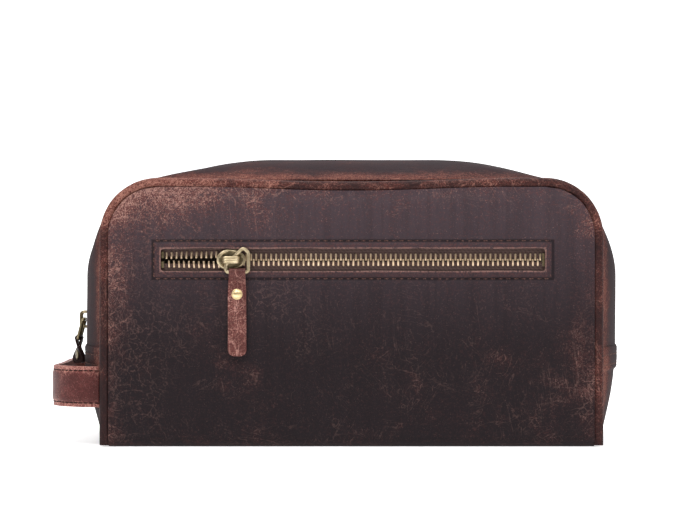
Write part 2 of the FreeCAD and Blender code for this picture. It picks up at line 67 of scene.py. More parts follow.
def softbox(name, place, target, size, watts):
    """A square lamp aimed at a point."""
    bpy.ops.object.light_add(type="AREA", location=place)
    lamp = bpy.context.object
    lamp.name = name
    lamp.rotation_euler = (Vector(target) - Vector(place)).to_track_quat("-Z", "Y").to_euler()
    lamp.data.shape = "RECTANGLE"
    lamp.data.size, lamp.data.size_y = size
    lamp.data.energy = watts


class Value:
    """A number on a shader socket: ordinary sums on it add the Math nodes that work them out."""

    def __init__(self, paint, socket):
        self.paint, self.socket = paint, socket

    def _math(self, operation, first, second=None):
        inputs = {0: first} if second is None else {0: first, 1: second}
        return self.paint.value("ShaderNodeMath", {"operation": operation}, inputs)

    def __add__(self, other):
        return self._math("ADD", self, other)

    def __sub__(self, other):
        return self._math("SUBTRACT", self, other)

    def __rsub__(self, other):
        return self._math("SUBTRACT", other, self)

    def __mul__(self, other):
        return self._math("MULTIPLY", self, other)

    def size(self):
        return self._math("ABSOLUTE", self)

    def at_most(self, other):
        return self._math("MINIMUM", self, other)

    def at_least(self, other):
        return self._math("MAXIMUM", self, other)

    def rise(self, low, high):
        """0 below low, 1 above high, and a smooth climb between them."""
        return self.paint.value("ShaderNodeMapRange", {"interpolation_type": "SMOOTHSTEP"},
                                {0: self, 1: low, 2: high, 3: 0.0, 4: 1.0})

    __radd__, __rmul__ = __add__, __mul__


class Paint:
    """One procedural material and its nodes."""

    def __init__(self, name):
        self.material = bpy.data.materials.new(name)
        self.material.use_nodes = True
        self.tree = self.material.node_tree
        self.shader = self.tree.nodes["Principled BSDF"]
        self.coords = self.node("ShaderNodeTexCoord").outputs["Object"]

    def node(self, kind, settings=None, inputs=None):
        """Adds a node: its settings first, then the numbers or links on its sockets."""
        made = self.tree.nodes.new(kind)
        for key, setting in (settings or {}).items():
            setattr(made, key, setting)
        for key, given in (inputs or {}).items():
            self.plug(made.inputs[key], given)
        return made

    def plug(self, socket, given):
        if isinstance(given, Value):
            given = given.socket
        if isinstance(given, bpy.types.NodeSocket):
            self.tree.links.new(given, socket)
        else:
            socket.default_value = given

    def value(self, kind, settings=None, inputs=None, output=0):
        return Value(self, self.node(kind, settings, inputs).outputs[output])

    def place(self, scale=(1, 1, 1), turn=(0, 0, 0), shift=(0, 0, 0), source=None):
        """Object coordinates, moved, turned and scaled."""
        return self.node("ShaderNodeMapping", {}, {"Vector": source or self.coords, "Scale": scale,
                                                   "Rotation": turn, "Location": shift}).outputs[0]

    def cloud(self, per_metre, detail=4.0, roughness=0.55, where=None, distortion=0.0):
        """Soft noise, with so many features to the metre."""
        return self.value("ShaderNodeTexNoise", {}, {"Vector": where or self.coords, "Scale": per_metre,
                                                     "Detail": detail, "Roughness": roughness,
                                                     "Distortion": distortion})

    def cells(self, per_metre, feature="F1", where=None):
        """Pebbled cells, so many to the metre."""
        return self.value("ShaderNodeTexVoronoi", {"feature": feature},
                          {"Vector": where or self.coords, "Scale": per_metre})

    def axis(self, index):
        """One object coordinate."""
        return self.value("ShaderNodeSeparateXYZ", {}, {0: self.coords}, output=index)

    def blend(self, share, first, second):
        """A colour between two."""
        return self.node("ShaderNodeMix", {"data_type": "RGBA"},
                         {0: share, 6: _rgba(first), 7: _rgba(second)}).outputs[2]

    def finish(self, **sockets):
        """Sets the shader's own sockets, named with underscores for spaces."""
        for key, given in sockets.items():
            self.plug(self.shader.inputs[key.replace("_", " ")], given)
        return self.material

    def relief(self, height, distance, strength, under=None):
        """A bump of so many metres, laid over another if there is one."""
        inputs = {"Height": height, "Distance": distance, "Strength": strength}
        if under:
            inputs["Normal"] = under
        return self.node("ShaderNodeBump", {}, inputs).outputs[0]


def _rgba(colour):
    return (*colour, 1.0) if isinstance(colour, tuple) and len(colour) == 3 else colour


def lay_sweep():
    """The white floor and the wall it curves up into. Both glow as painted light, dim near the bag, full up
    the wall.
    """
    bpy.ops.mesh.primitive_plane_add(size=1, location=(0, 0, 0))
    floor = bpy.context.object
    floor.name = "floor"
    for vertex in floor.data.vertices:
        vertex.co.x *= 12
        vertex.co.y = -0.75 if vertex.co.y < 0 else 3.0
    bpy.ops.object.mode_set(mode="EDIT")
    bpy.ops.mesh.select_mode(type="EDGE")
    bpy.ops.mesh.select_all(action="DESELECT")
    bpy.ops.object.mode_set(mode="OBJECT")
    for edge in floor.data.edges:
        edge.select = all(floor.data.vertices[i].co.y > 0 for i in edge.vertices)
    bpy.ops.object.mode_set(mode="EDIT")
    bpy.ops.mesh.extrude_region_move(TRANSFORM_OT_translate={"value": (0, 0.8, 0.25)})
    bpy.ops.mesh.extrude_region_move(TRANSFORM_OT_translate={"value": (0, 0.25, 0.8)})
    bpy.ops.mesh.extrude_region_move(TRANSFORM_OT_translate={"value": (0, 0, 4)})
    bpy.ops.object.mode_set(mode="OBJECT")
    bpy.ops.object.shade_smooth()
    paper = Paint("white_paper")
    # Painted light: the sweep glows, at half strength on the floor near the bag and fully towards the wall.
    glow = paper.blend(paper.axis(1).rise(0.3, 2.0), (0.5, 0.5, 0.5), (1.0, 1.0, 1.0))
    floor.data.materials.append(paper.finish(Base_Color=(0.93, 0.93, 0.93, 1), Roughness=0.9,
                                             Emission_Color=glow, Emission_Strength=0.9))


place_camera()
softbox("lamp_key", (-0.7, -0.9, 1.3), (0, 0, 0.1), (0.9, 0.9), 9)
softbox("lamp_fill", (0.9, -0.9, 1.1), (0, 0, 0.1), (0.9, 0.9), 5)
softbox("lamp_above", (0, -0.42, 0.62), (0, -0.05, 0.13), (0.7, 0.25), 2.4)
softbox("lamp_top", (0, 0.25, 1.4), (0, 0, 0.1), (1.2, 1.0), 14)
softbox("lamp_left", (-1.3, -0.2, 0.5), (0, 0, 0.07), (0.5, 0.7), 2.4)
softbox("lamp_right", (1.3, -0.1, 0.5), (0, 0, 0.07), (0.5, 0.7), 3.0)
softbox("lamp_back", (0.6, 1.3, 1.2), (0, 0, 0.07), (1.0, 1.0), 5)
world = bpy.data.worlds.new("room") if bpy.context.scene.world is None else bpy.context.scene.world
bpy.context.scene.world = world
world.use_nodes = True
world.node_tree.nodes["Background"].inputs[0].default_value = (1, 1, 1, 1)
world.node_tree.nodes["Background"].inputs[1].default_value = 0.22
bpy.context.scene.view_settings.view_transform = "Standard"
lay_sweep()

# ---- The body: front, base and back -----------------------------------------
# One length of waxed pull-up leather makes the front, base and back. It is dark brown, nearly black, and
# wherever it is folded or rubbed the wax thins and the red-brown underneath shows. The pocket's opening is
# cut through the front.

MM = 0.001
PANEL_HALF, PANEL_TOP, PANEL_CORNER = 121.9 * MM, 130.4 * MM, 24.8 * MM
FACE = 63.5 * MM
BASE_BEND = 5.0 * MM
LEATHER = 1.4 * MM
WINDOW_X, WINDOW_Z = (-95.6 * MM, 97.0 * MM), (88.2 * MM, 99.4 * MM)
WINDOW_MIDDLE = ((WINDOW_X[0] + WINDOW_X[1]) / 2, (WINDOW_Z[0] + WINDOW_Z[1]) / 2)
WINDOW_SIZE = (WINDOW_X[1] - WINDOW_X[0], WINDOW_Z[1] - WINDOW_Z[0])
WINDOW_CORNER, CUTTER_DEPTH = 1.6 * MM, 14 * MM
TOP_SAG, SAG_REACH = 1.9 * MM, 97 * MM
SEWN_X, SEWN_Z = (-99.0 * MM, 99.6 * MM), (84.3 * MM, 103.3 * MM)


def smooth(value, low, high):
    share = min(max((value - low) / (high - low), 0.0), 1.0)
    return share * share * (3 - 2 * share)


def ripple(point, per_metre, seed=0.0):
    """Slow, repeatable unevenness between about -1 and 1."""
    return noise.noise(Vector(point) * per_metre + Vector((seed, seed * 1.7, -seed)))


def weld(piece):
    """Merges the points that coincide, and turns the faces outwards."""
    bpy.context.view_layer.objects.active = piece
    bpy.ops.object.mode_set(mode="EDIT")
    bpy.ops.mesh.select_all(action="SELECT")
    bpy.ops.mesh.remove_doubles(threshold=1e-6)
    bpy.ops.mesh.normals_make_consistent(inside=False)
    bpy.ops.object.mode_set(mode="OBJECT")


def sheet_from_grid(name, across, along, place, closed=False):
    """A grid laid through space: place(u, v) gives each vertex's position, with u and v from 0 to 1."""
    bpy.ops.mesh.primitive_grid_add(x_subdivisions=across, y_subdivisions=along, size=1)
    piece = bpy.context.object
    piece.name = piece.data.name = name
    for vertex in piece.data.vertices:
        vertex.co = place(vertex.co.x + 0.5, vertex.co.y + 0.5)
    if closed:
        weld(piece)
    piece.data.uv_layers[0].name = "sheet"
    bpy.ops.object.shade_smooth()
    return piece


def face_outward(piece, outward):
    """Turns an open sheet over if its faces point away from the given direction at their places."""
    total = sum(face.normal.dot(outward(face.center)) * face.area for face in piece.data.polygons)
    if total < 0:
        piece.data.flip_normals()


def apply_modifier(piece, kind, **settings):
    bpy.context.view_layer.objects.active = piece
    modifier = piece.modifiers.new(kind.lower(), kind)
    for key, setting in settings.items():
        setattr(modifier, key, setting)
    bpy.ops.object.modifier_apply(modifier=modifier.name)


def thicken(piece, thickness):
    """Gives a sheet its thickness, inwards from its outer face."""
    apply_modifier(piece, "SOLIDIFY", thickness=thickness, offset=-1.0, use_even_offset=True)
    bpy.ops.object.shade_smooth_by_angle(angle=math.radians(45))


def dress(piece, paint, slot):
    piece.data.materials.clear()
    piece.data.materials.append(paint)


def top_sag(x):
    """How far the top seam hangs below its straight line: most in the middle."""
    return TOP_SAG * (math.cos(math.pi * min(abs(x) / SAG_REACH, 1.0)) + 1) / 2


def panel_relief(x, z):
    """How far the front stands out: puffed inside the seam, and drawn in along the pocket's stitches."""
    edge = min(PANEL_HALF - abs(x), PANEL_TOP - top_sag(x) - z)
    lift = 0.9 * MM * smooth(edge, 0, 7 * MM) + 0.5 * MM * smooth(edge, 2 * MM, 8 * MM) \
        * (1 - smooth(edge, 8 * MM, 24 * MM))
    lift += 0.45 * MM * ripple((x, 0, z), 14) + 0.18 * MM * ripple((x, 0, z), 45, 3)
    beyond = max(SEWN_X[0] - x, x - SEWN_X[1], SEWN_Z[0] - z, z - SEWN_Z[1])
    lift -= 0.8 * MM * math.exp(-(beyond / (1.1 * MM)) ** 2)
    if beyond < 0:
        lift += (0.5 + 0.7 * ripple((x, 0, z), 55, 8)) * MM * smooth(-beyond, 0, 1.5 * MM)
    return lift


def body_point(u, v):
    """From the top of the front (v = 0), down, under the base, and up the back (v = 1)."""
    front_end, base_end = 0.56, 0.66
    if v < front_end or v > base_end:
        share = v / front_end if v < front_end else (1 - v) / (1 - base_end)
        top = PANEL_TOP - top_sag((2 * u - 1) * PANEL_HALF)
        z = top - (top - BASE_BEND) * share
        side = -1 if v < front_end else 1
        over = max(z - (PANEL_TOP - PANEL_CORNER), 0)
        half = PANEL_HALF - PANEL_CORNER + math.sqrt(max(PANEL_CORNER ** 2 - over ** 2, 0))
        x = (2 * u - 1) * half
        lift = panel_relief(x, z) * smooth(z, 0, 12 * MM)
        if side > 0:
            lift = 1.2 * MM * smooth(min(half - abs(x), PANEL_TOP - z), 0, 7 * MM) * smooth(z, 0, 12 * MM)
            lift += 0.7 * MM * ripple((x, 1, z), 12) * smooth(z, 0, 20 * MM)
        return Vector((x, side * (FACE + lift), z))
    share = (v - front_end) / (base_end - front_end)
    x = (2 * u - 1) * PANEL_HALF
    bend_share = 0.22
    if share < bend_share or share > 1 - bend_share:
        side = -1 if share < bend_share else 1
        angle = math.pi / 2 * (share if side < 0 else 1 - share) / bend_share
        return Vector((x, side * (FACE - BASE_BEND + BASE_BEND * math.cos(angle)),
                       BASE_BEND - BASE_BEND * math.sin(angle)))
    flat = (share - bend_share) / (1 - 2 * bend_share)
    return Vector((x, (2 * flat - 1) * (FACE - BASE_BEND), 0))


def block(centre, size):
    """A plain block, to be shaped."""
    bpy.ops.mesh.primitive_cube_add(size=1, location=centre)
    made = bpy.context.object
    made.scale = size
    bpy.ops.object.transform_apply(location=True, rotation=True, scale=True)
    return made


def cut_window(piece):
    """Cuts the pocket's opening, its corners a little rounded and its edges a little uneven."""
    cutter = block((WINDOW_MIDDLE[0], -FACE, WINDOW_MIDDLE[1]),
                   (WINDOW_SIZE[0], CUTTER_DEPTH, WINDOW_SIZE[1]))
    apply_modifier(cutter, "BEVEL", width=WINDOW_CORNER, segments=4, limit_method="ANGLE")
    bpy.ops.object.mode_set(mode="EDIT")
    bpy.ops.mesh.select_all(action="SELECT")
    bpy.ops.mesh.subdivide(number_cuts=24)
    bpy.ops.object.mode_set(mode="OBJECT")
    for vertex in cutter.data.vertices:
        vertex.co.z += 0.45 * MM * ripple((vertex.co.x, 0, vertex.co.z * 8), 60, 4)
    apply_modifier(piece, "BOOLEAN", operation="DIFFERENCE", object=cutter, solver="EXACT")
    bpy.data.objects.remove(cutter)


def waxed_leather(name, dark, warm, worn, wear=0.0, edges=(), left_wear=0.0, corner_wear=0.0, top_light_and_rub=0.0,
                  crackle=0.0, sewn_frame=None, grain=1.0, gloss=0.56, shine=0.1):
    """Waxed pull-up leather: dark, flecked with warm scuffs, and crossed by fine pale scratches.

    Wear sets how much of the warm colour shows everywhere, left_wear adds it towards -X, and corner_wear adds
    it in the upper -X corner. Each edge adds more near one coordinate. A painted top light pales the leather
    towards the top, as if lit from above, and adds more rubbed flecks there; crackle draws a fine broken net
    where it has been creased. A sewn frame is an opening's middle and size, and how far out its seam lies: a
    painted highlight lies along its raw edge, and a painted shade along the line its stitches sink into.
    """
    paint = Paint(name)
    left, high = paint.axis(0) * -1.0, paint.axis(2)
    clouds = paint.cloud(13, 5, 0.6)
    patches = paint.cloud(44, 6, 0.7, paint.place(shift=(3.1, 0.7, 1.9)), 0.4)
    corner = left.rise(0.04, 0.12) * high.rise(0.06, 0.13)
    bias = (left - 0.02).at_least(0.0) * left_wear + corner * corner_wear + wear
    for index, at, reach, amount in edges:
        bias = bias + (1 - (paint.axis(index) - at).size().rise(0.0, reach)) * amount
    worn_here = (clouds * 0.5 + patches * 0.5 + bias * 0.3).rise(0.42, 0.80)
    fine = paint.cloud(820, 5, 0.78)
    specks = paint.cloud(1500, 3, 0.7, paint.place(shift=(1.3, 4.1, 2.2)))
    flecks = (fine + worn_here * 0.16).rise(0.5, 0.66)
    pale = (specks + worn_here * 0.13).rise(0.6, 0.72)
    scratches = None
    for angle, across, along, seed in ((0.6, 230, 16, 1.1), (-0.5, 260, 20, 2.7), (1.25, 240, 22, 4.3),
                                       (-1.05, 210, 18, 6.1), (0.12, 330, 24, 7.9)):
        lie = paint.place(scale=(across, across, along), shift=(seed, seed, seed),
                          source=paint.place(turn=(angle * 0.6, angle, 0)))
        drift = paint.cloud(1.0, 2.0, 0.4, lie, 0.25)
        where = paint.cloud(26, 4, 0.62, paint.place(shift=(seed * 2, seed, 3)))
        lines = (1 - (drift - 0.5).size().rise(0.002, 0.014)) * (where + worn_here * 0.22).rise(0.53, 0.66)
        scratches = lines if scratches is None else scratches + lines
    scratches = scratches.at_most(1.0) * fine.rise(0.36, 0.54)
    # Painted light: the base colour grows paler towards the top, as if lit from above.
    base = paint.blend(high.rise(0.04, 0.135) * top_light_and_rub, dark, tuple(c * 4.5 for c in dark))
    streaks = paint.cloud(240, 4, 0.62, paint.place(scale=(1, 1, 0.07)))
    base = paint.blend(streaks.rise(0.4, 0.66) * 0.22, base, tuple(c * 0.6 for c in dark))
    colour = paint.blend(worn_here * 0.42, base, tuple(c * 0.62 for c in warm))
    rubbed = high.rise(0.06, 0.11) * top_light_and_rub * 0.34 + 0.14
    colour = paint.blend(flecks * (worn_here * 0.5 + rubbed), colour, warm)
    colour = paint.blend(scratches * (0.08 + worn_here * 0.62), colour, worn)
    colour = paint.blend(pale * (worn_here * 0.5 + rubbed * 0.8), colour, worn)
    if crackle:
        drawn = paint.node("ShaderNodeVectorMath", {"operation": "MULTIPLY_ADD"},
                           {0: paint.node("ShaderNodeTexNoise", {}, {"Vector": paint.coords, "Scale": 60.0,
                                                                     "Detail": 3.0}).outputs["Color"],
                            1: (0.022, 0.022, 0.022), 2: paint.coords}).outputs[0]
        net = 1 - paint.cells(210, "DISTANCE_TO_EDGE", drawn).rise(0.0, 0.09)
        creased = (paint.cloud(22, 4, 0.6, paint.place(shift=(5.5, 2.5, 8.5))) + left * 1.5).rise(0.58, 0.76)
        colour = paint.blend(net * creased * fine.rise(0.42, 0.6) * crackle, colour, worn)
    if sewn_frame:
        (middle_x, middle_z), (wide, tall), seam = sewn_frame
        beyond = ((paint.axis(0) - middle_x).size() - wide / 2).at_least((high - middle_z).size() - tall / 2)
        in_front = 1 - paint.axis(1).rise(-0.05, -0.04)
        # Painted shade darkens the line the stitches sink into, and a painted highlight brightens the raw
        # edge.
        seam_shade = (1 - (beyond - seam).size().rise(0.3 * MM, 1.1 * MM)) * in_front
        edge_highlight = (1 - beyond.size().rise(0.3 * MM, 0.9 * MM)) * in_front
        inside_seam = (1 - beyond.rise(seam - 1.2 * MM, seam)) * in_front
        colour = paint.blend(inside_seam * fine.rise(0.4, 0.6) * 0.3, colour, warm)
        colour = paint.blend(seam_shade * 0.7, colour, tuple(c * 0.45 for c in dark))
        colour = paint.blend(edge_highlight * fine.rise(0.36, 0.56) * 0.45, colour, worn)
    bumps = paint.relief(paint.cloud(230, 5, 0.6), 0.3 * MM, 0.3 * grain)
    bumps = paint.relief(paint.cells(1250, "F1").rise(0.0, 0.7), 0.07 * MM, 0.55 * grain, bumps)
    bumps = paint.relief(flecks * 0.6 - scratches, 0.05 * MM, 0.5 * grain, bumps)
    rough = worn_here * 0.1 + (fine - 0.5) * 0.2 + gloss
    paint.finish(Base_Color=colour, Roughness=rough, Normal=bumps)
    paint.shader.inputs["Specular IOR Level"].default_value = shine
    return paint.material


DARK, WARM, WORN = (0.0125, 0.0088, 0.0105), (0.1, 0.034, 0.03), (0.36, 0.2, 0.165)
body_leather = waxed_leather("body_leather", DARK, WARM, WORN, wear=-0.32, left_wear=1.9, corner_wear=0.5,
                             top_light_and_rub=0.85, crackle=0.13,
                             sewn_frame=(WINDOW_MIDDLE, WINDOW_SIZE, WINDOW_Z[0] - SEWN_Z[0]),
                             edges=((0, -0.122, 0.016, 0.35), (2, 0.131, 0.03, 0.5), (2, 0.0, 0.012, 0.15),
                                    (0, 0.122, 0.02, 0.3)))
body = sheet_from_grid("body_leather", 190, 200, body_point)
face_outward(body, lambda at: Vector((0, at.y, at.z - 60 * MM)))
thicken(body, LEATHER)
cut_window(body)
dress(body, body_leather, "shell_leather")
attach(body, "bag")
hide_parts("body_shell")

# ---- Piping -----------------------------------------------------------------
# A thin leather strip folded over a cord is sewn between the body and the gusset, up each side and over the
# top. It takes all the knocks, so its wax is rubbed through to red-brown along its length.

PIPING_HALF, PIPING_TOP, PIPING_DEEP = 124.0 * MM, 132.6 * MM, 61.5 * MM
PIPING_BEND, PIPING_RADIUS, CORD_RADIUS, PIPING_FOOT = 27.0 * MM, 2.42 * MM, 1.4 * MM, 0.8 * MM
ARC = math.pi / 2 * PIPING_BEND
SIDE_RUN, TOP_HALF_RUN = PIPING_TOP - PIPING_BEND - PIPING_FOOT, PIPING_HALF - PIPING_BEND


def piping_line(distance):
    """The piping's middle line from the front, so far from the middle of the top: (x, z, outward angle)."""
    side, run = (1 if distance > 0 else -1), abs(distance)
    if run < TOP_HALF_RUN:
        return side * run, PIPING_TOP - top_sag(run), math.pi / 2
    if run < TOP_HALF_RUN + ARC:
        angle = math.pi / 2 - (run - TOP_HALF_RUN) / PIPING_BEND
        x = TOP_HALF_RUN + PIPING_BEND * math.cos(angle)
        z = PIPING_TOP - PIPING_BEND + PIPING_BEND * math.sin(angle)
        return side * x, z, angle if side > 0 else math.pi - angle
    drop = run - TOP_HALF_RUN - ARC
    return side * PIPING_HALF, PIPING_TOP - PIPING_BEND - drop, 0.0 if side > 0 else math.pi


def cap_ends(piece):
    """Closes a tube's open ends."""
    bpy.context.view_layer.objects.active = piece
    bpy.ops.object.mode_set(mode="EDIT")
    bpy.ops.mesh.select_mode(type="EDGE")
    bpy.ops.mesh.select_all(action="DESELECT")
    bpy.ops.mesh.select_non_manifold(extend=False)
    bpy.ops.mesh.edge_face_add()
    bpy.ops.mesh.select_all(action="SELECT")
    bpy.ops.mesh.normals_make_consistent(inside=False)
    bpy.ops.object.mode_set(mode="OBJECT")
    bpy.ops.object.shade_smooth_by_angle(angle=math.radians(50))


def twisted(name, dark, pale):
    """Cord or thread: plies that wind round each other."""
    paint = Paint(name)
    ply = paint.value("ShaderNodeTexWave", {"bands_direction": "DIAGONAL"},
                      {"Vector": paint.coords, "Scale": 420.0, "Distortion": 1.5})
    colour = paint.blend(ply * 0.6 + paint.cloud(180, 3, 0.5) * 0.4, dark, pale)
    paint.finish(Base_Color=colour, Roughness=0.7, Normal=paint.relief(ply, 0.08 * MM, 0.6))
    paint.shader.inputs["Specular IOR Level"].default_value = 0.1
    return paint.material


def piping_point(sign, size):
    """A tube along the piping's line, puckered by its seam."""
    length = 2 * (TOP_HALF_RUN + ARC + SIDE_RUN)

    def place(u, v):
        x, z, out = piping_line((v - 0.5) * length)
        turn = 2 * math.pi * u
        radius = size * (1 + 0.05 * ripple((x, sign, z), 130, 4) + 0.03 * ripple((x, u, z), 320, 6))
        outward, deep = radius * math.cos(turn), radius * math.sin(turn)
        return Vector((x + outward * math.cos(out), sign * PIPING_DEEP + deep, z + outward * math.sin(out)))
    return place


piping_leather = waxed_leather(
    "piping_leather", (0.02, 0.01, 0.0105), (0.13, 0.033, 0.025), (0.36, 0.17, 0.13), wear=-0.2,
    corner_wear=0.7, grain=1.5,
    edges=((2, 0.134, 0.03, 0.55), (0, 0.124, 0.02, 0.25), (0, -0.124, 0.02, 0.2)))
cord_cotton = twisted("cord_cotton", (0.45, 0.4, 0.33), (0.62, 0.57, 0.49))
for half, sign in (("front", -1), ("rear", 1)):
    for kind, radius, surface, slot in (("", PIPING_RADIUS, piping_leather, "piping_leather"),
                                        ("_cord", CORD_RADIUS, cord_cotton, "piping_cord")):
        piping = sheet_from_grid(f"piping_{half}{kind}", 16, 420, piping_point(sign, radius), closed=True)
        cap_ends(piping)
        dress(piping, surface, slot)
        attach(piping, "bag")
        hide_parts(f"piping_{half}{kind}")

# ---- Gusset and mouth lips --------------------------------------------------
# Two lengths of leather run from the left side, over the top, to the right side, with the long zip between
# them. They bulge between the seams. Their top stretch is the mouth.

SEAM_FORM = {"foot": 125.0, "side": 125.4, "spring_z": 105.6, "spring_x": 97.6, "top": 133.8}
MIDDLE_FORM = {"foot": 128.0, "side": 138.0, "spring_z": 84.0, "spring_x": 40.0, "top": 146.0}
SEAM_DEEP = 59.0 * MM
WAIST = 46.0
GUSSET_FOOT = 40.0
ZIP_EDGE = 6.0 * MM
outlines = {}


def side_out(form, z):
    """How far out the side stands at one height, in millimetres."""
    share = min(z / WAIST, 1.0)
    return form["foot"] + (form["side"] - form["foot"]) * (1 - (1 - share) ** 2)


def form_at(y):
    """The gusset's form at one depth: fullest beside the zip."""
    share = 1 - (y / SEAM_DEEP) ** 2
    return {k: SEAM_FORM[k] + share * (MIDDLE_FORM[k] - SEAM_FORM[k]) for k in SEAM_FORM}


def outline(y):
    """The outer line at one depth, from low on the side to the middle of the top, and the distances run."""
    key = round(y / MM, 3)
    if key not in outlines:
        form = form_at(y)
        points = [(side_out(form, z), z) for z in (GUSSET_FOOT, 46, 60, 75)]
        for i in range(41):
            angle = math.pi / 2 * i / 40
            points.append((form["spring_x"] + (form["side"] - form["spring_x"]) * math.cos(angle),
                           form["spring_z"] + (form["top"] - form["spring_z"]) * math.sin(angle)))
        points += [(form["spring_x"] * (1 - i / 8), form["top"]) for i in range(1, 9)]
        runs = [0.0]
        for (x0, z0), (x1, z1) in zip(points, points[1:]):
            runs.append(runs[-1] + math.hypot(x1 - x0, z1 - z0))
        outlines[key] = points, runs
    return outlines[key]


def on_gusset(side, share, y, lift=0.0):
    """A point on the gusset, by its share of the way from low on the side to the middle of the top."""
    points, runs = outline(y)
    wanted = min(max(share, 0.0), 1.0) * runs[-1]
    i = 0
    while i < len(runs) - 2 and runs[i + 1] < wanted:
        i += 1
    part = (wanted - runs[i]) / (runs[i + 1] - runs[i])
    (x0, z0), (x1, z1) = points[i], points[i + 1]
    along = Vector((x1 - x0, 0, z1 - z0)).normalized()
    out = Vector((along.z, 0, -along.x))
    at = Vector((x0 + (x1 - x0) * part, 0, z0 + (z1 - z0) * part)) + out * (lift / MM)
    return Vector((side * at.x * MM, y, at.z * MM)), Vector((side * along.x, 0, along.z)), Vector(
        (side * out.x, 0, out.z))


def gusset_strip(side, sign, near, far, relief=None):
    """A strip of one gusset half between two distances from the zip's middle."""
    def place(u, v):
        y = sign * (near + (far - near) * v)
        lift = relief(side, u, y) if relief else 0.0
        return on_gusset(side, u, y, lift)[0]
    return place


def gusset_relief(side, share, y):
    """Slow dents, puckers along the seam, and a rounded, stitched edge beside the zip."""
    at = on_gusset(side, share, y)[0]
    from_zip = abs(y) - ZIP_EDGE
    from_seam = SEAM_DEEP - abs(y)
    lift = 0.9 * MM * ripple(at, 16, 5) * smooth(from_seam, 0, 18 * MM) * smooth(from_zip, 0, 14 * MM)
    lift += 0.35 * MM * ripple(at, 90, 2) * (1 - smooth(from_seam, 0, 12 * MM)) * smooth(from_seam, 0, 2 * MM)
    lift += 0.35 * MM * smooth(from_zip, 0, 1.0 * MM)
    lift -= 0.4 * MM * math.exp(-((from_zip - 2.4 * MM) / (0.8 * MM)) ** 2)
    return lift + 0.2 * MM * ripple(at, 40, 9)


def fold_with_mouth(piece):
    """Bakes a piece's placing into its mesh."""
    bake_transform(piece)


gusset_leather = waxed_leather(
    "gusset_leather", (0.021, 0.013, 0.0155), (0.11, 0.031, 0.024), (0.26, 0.12, 0.09), wear=-0.1, gloss=0.6,
    shine=0.015, edges=((1, -0.06, 0.022, 0.75), (1, 0.06, 0.022, 0.75)))
HALVES, SIDES = (("front", -1), ("rear", 1)), (("left", -1), ("right", 1))
for half, sign in HALVES:
    for name, side in SIDES:
        gusset = sheet_from_grid(f"gusset_{half}_{name}", 190, 56,
                                 gusset_strip(side, sign, ZIP_EDGE, SEAM_DEEP, gusset_relief))
        face_outward(gusset, lambda at: Vector((at.x * 2, 0, at.z - 70 * MM)))
        thicken(gusset, LEATHER)
        dress(gusset, gusset_leather, "gusset_leather")
        fold_with_mouth(gusset)
        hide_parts(f"gusset_{half}_{name}", *([f"lip_{half}"] if side < 0 else []))

# ---- Side panels ------------------------------------------------------------
# A piece of the same leather closes each side below the zip. Its top edge is folded under and stitched down
# twice, over the ends of the gusset and the zip, and its foot is turned in and sewn to the base.

PANEL_FOOT, HEM_START, HEM_TOP, HEM_LIFT = 4.4, 38.0, 49.8, 1.35
HEM_STITCHES = (40.6, 45.6)
EDGE_X, EDGE_Z, EDGE_OUT, EDGE_UP, EDGE_HALF = 121.6 * MM, 2.8 * MM, 3.1 * MM, 2.4 * MM, 58.4 * MM


def panel_point(side):
    """The side below the zip: full between its seams, with a thicker hem along the top."""
    def place(u, v):
        y = (2 * u - 1) * SEAM_DEEP
        z = PANEL_FOOT + (HEM_TOP - PANEL_FOOT) * v
        x = side_out(form_at(y), z) * MM
        x += HEM_LIFT * MM * smooth(z, HEM_START - 1.2, HEM_START + 0.8)
        x -= 1.4 * MM * (1 - smooth(z, PANEL_FOOT, PANEL_FOOT + 4))
        x -= 0.5 * MM * smooth(z, HEM_TOP - 1.2, HEM_TOP)
        from_seam = SEAM_DEEP - abs(y)
        x += 0.7 * MM * ripple((side, y, z * MM), 17, 6) * smooth(from_seam, 0, 15 * MM)
        x += 0.3 * MM * ripple((side, y, z * MM), 90, 2) * (1 - smooth(from_seam, 0, 12 * MM))
        for row in HEM_STITCHES:
            x -= 0.3 * MM * math.exp(-((z - row) / 0.7) ** 2)
        return Vector((side * x, y, z * MM))
    return place


def edge_point(side):
    """The base's turned-up edge: a low rounded roll under the side panel."""
    def place(u, v):
        turn = math.pi * (0.95 * v - 0.45)
        out = EDGE_OUT * math.cos(turn) * (1 + 0.08 * ripple((u * 0.12, side, 0), 90))
        return Vector((side * (EDGE_X + out), (2 * u - 1) * EDGE_HALF, EDGE_Z + EDGE_UP * math.sin(turn)))
    return place


for name, side in SIDES:
    panel = sheet_from_grid(f"side_panel_{name}", 100, 80, panel_point(side))
    face_outward(panel, lambda at: Vector((at.x, 0, 0)))
    thicken(panel, 1.25 * MM)
    dress(panel, gusset_leather, "gusset_leather")
    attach(panel, "bag")
    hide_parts(f"side_panel_{name}")
    turned = sheet_from_grid(f"base_edge_{name}", 90, 10, edge_point(side))
    face_outward(turned, lambda at: Vector((at.x, 0, 0)))
    thicken(turned, 0.9 * MM)
    dress(turned, piping_leather, "edge_leather")
    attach(turned, "bag")
    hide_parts(f"base_edge_{name}")

# ---- Zip tapes and linings --------------------------------------------------
# Each zip has two woven cotton tapes, sewn behind the leather's edges. A plain dark cloth lines the bag,
# and each piece of it is sewn in with the leather that it backs.

WAVES = 6.2  # a wave texture's bands to each unit of its scale


def woven(name, first, second, threads_per_metre):
    """A plain weave: threads over and under in both directions."""
    paint = Paint(name)
    across, up = (paint.value("ShaderNodeTexWave", {"bands_direction": direction},
                              {"Vector": paint.coords, "Scale": threads_per_metre / WAVES, "Distortion": 0.4})
                  for direction in ("DIAGONAL", "Z"))
    weave = across * 0.5 + up * 0.5
    colour = paint.blend(weave * 0.6 + paint.cloud(120, 4, 0.6) * 0.4, first, second)
    paint.finish(Base_Color=colour, Roughness=0.92, Normal=paint.relief(weave, 0.12 * MM, 0.6))
    return paint.material


